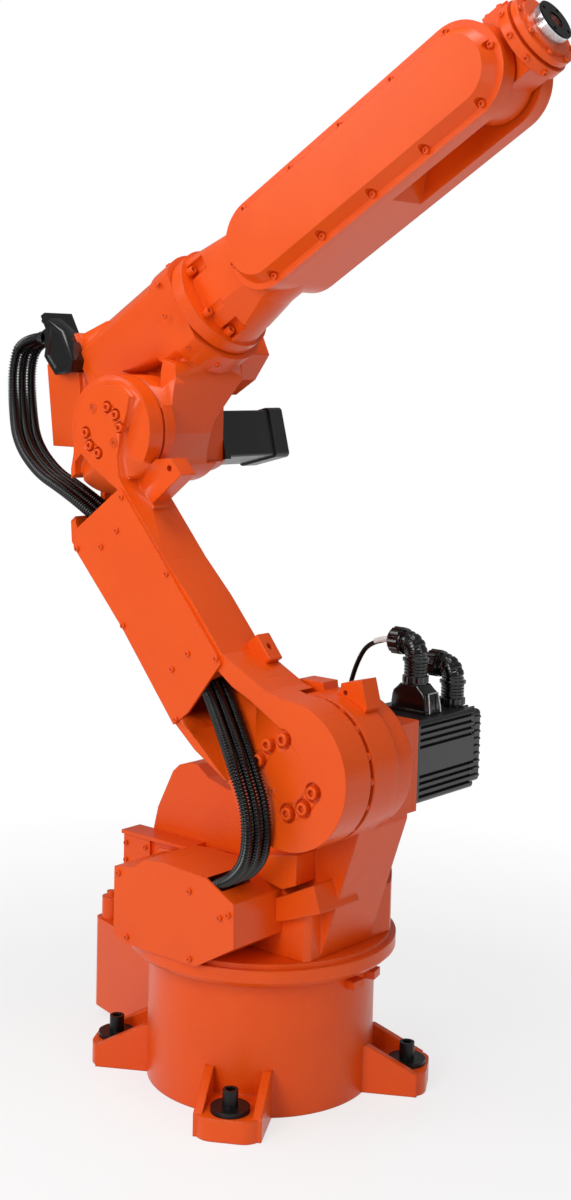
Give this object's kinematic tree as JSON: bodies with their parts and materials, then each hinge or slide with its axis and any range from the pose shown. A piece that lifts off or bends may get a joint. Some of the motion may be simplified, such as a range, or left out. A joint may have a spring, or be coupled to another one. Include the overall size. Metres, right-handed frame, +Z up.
{
  "type": "industrial robot arm",
  "caption": "Floor-standing industrial robot arm with ribbed feet, a turntable, outside hoses, a forked forearm and a round tool flange.",
  "frame": {"origin": "on the floor, on the axis that the turret turns about", "axes": "+Z up, +X square to the front pair of feet; at rest the arm is turned 15 degrees from +X towards +Y"},
  "size_m": [1.0117, 0.5502, 1.6671],
  "materials": {
    "orange_paint": "gloss",
    "black_steel": "satin",
    "black_plastic": "gloss",
    "motor_black": "satin",
    "bright_steel": "brushed",
    "black_rubber": "matt"
  },
  "bodies": {
    "base": {"base_casting": "orange_paint", "base_stop_blocks": "orange_paint", "anchor_bolts": "black_steel", "base_connector_box": "orange_paint", "base_cable_gland": "orange_paint"},
    "turret": {"turntable_ring": "orange_paint", "turret_casting": "orange_paint", "shoulder_stop_bracket": "orange_paint", "rear_hump": "orange_paint", "rear_terminal_box": "orange_paint", "junction_box": "orange_paint", "junction_box_cover": "orange_paint", "shoulder_motor_plate": "orange_paint", "shoulder_motor": "motor_black", "shoulder_motor_cap": "motor_black", "motor_hood_connector": "black_plastic", "motor_round_connector": "black_plastic", "motor_cable_gland": "black_plastic", "motor_cable": "black_rubber", "lower_hose_near": "black_rubber", "lower_hose_middle": "black_rubber", "lower_hose_far": "black_rubber"},
    "upper_arm": {"upper_arm_casting": "orange_paint", "upper_arm_cover": "orange_paint"},
    "elbow": {"elbow_housing": "orange_paint", "elbow_far_box": "orange_paint", "elbow_motor": "motor_black", "elbow_motor_cap": "motor_black", "hose_connector": "black_plastic", "upper_hose_near": "black_rubber", "upper_hose_middle": "black_rubber", "upper_hose_far": "black_rubber"},
    "forearm": {"forearm_casting": "orange_paint", "forearm_near_cover": "orange_paint", "forearm_far_cover": "orange_paint"},
    "wrist": {"wrist_housing": "orange_paint", "wrist_ring": "orange_paint", "wrist_cover": "orange_paint"},
    "tool_flange": {"tool_flange": "bright_steel"}
  },
  "joints": [
    {"name": "base_turn", "type": "hinge", "parent": "base", "child": "turret", "pos_m": [0, 0, 0.215], "axis": [0, 0, 1], "range_deg": [-185, 155]},
    {"name": "shoulder", "type": "hinge", "parent": "turret", "child": "upper_arm", "pos_m": [0.1787, 0.04788, 0.55], "axis": [-0.2588, 0.9659, 0], "range_deg": [-20, 115], "deforming": ["lower_hose_near", "lower_hose_middle", "lower_hose_far"]},
    {"name": "elbow", "type": "hinge", "parent": "upper_arm", "child": "elbow", "pos_m": [-0.19876, -0.05326, 1.03777], "axis": [0.2588, -0.9659, 0], "range_deg": [-70, 90], "deforming": ["upper_hose_near", "upper_hose_middle", "upper_hose_far"]},
    {"name": "forearm_roll", "type": "hinge", "parent": "elbow", "child": "forearm", "pos_m": [-0.1287, -0.03449, 1.23742], "axis": [0.8165, 0.2188, 0.5344], "range_deg": [-180, 180]},
    {"name": "wrist_tilt", "type": "hinge", "parent": "forearm", "child": "wrist", "pos_m": [0.36281, 0.09721, 1.5591], "axis": [0.2588, -0.9659, 0], "range_deg": [-95, 95]},
    {"name": "flange_turn", "type": "hinge", "parent": "wrist", "child": "tool_flange", "pos_m": [0.46487, 0.12456, 1.6259], "axis": [0.8165, 0.2188, 0.5344], "range_deg": [-360, 360]}
  ]
}
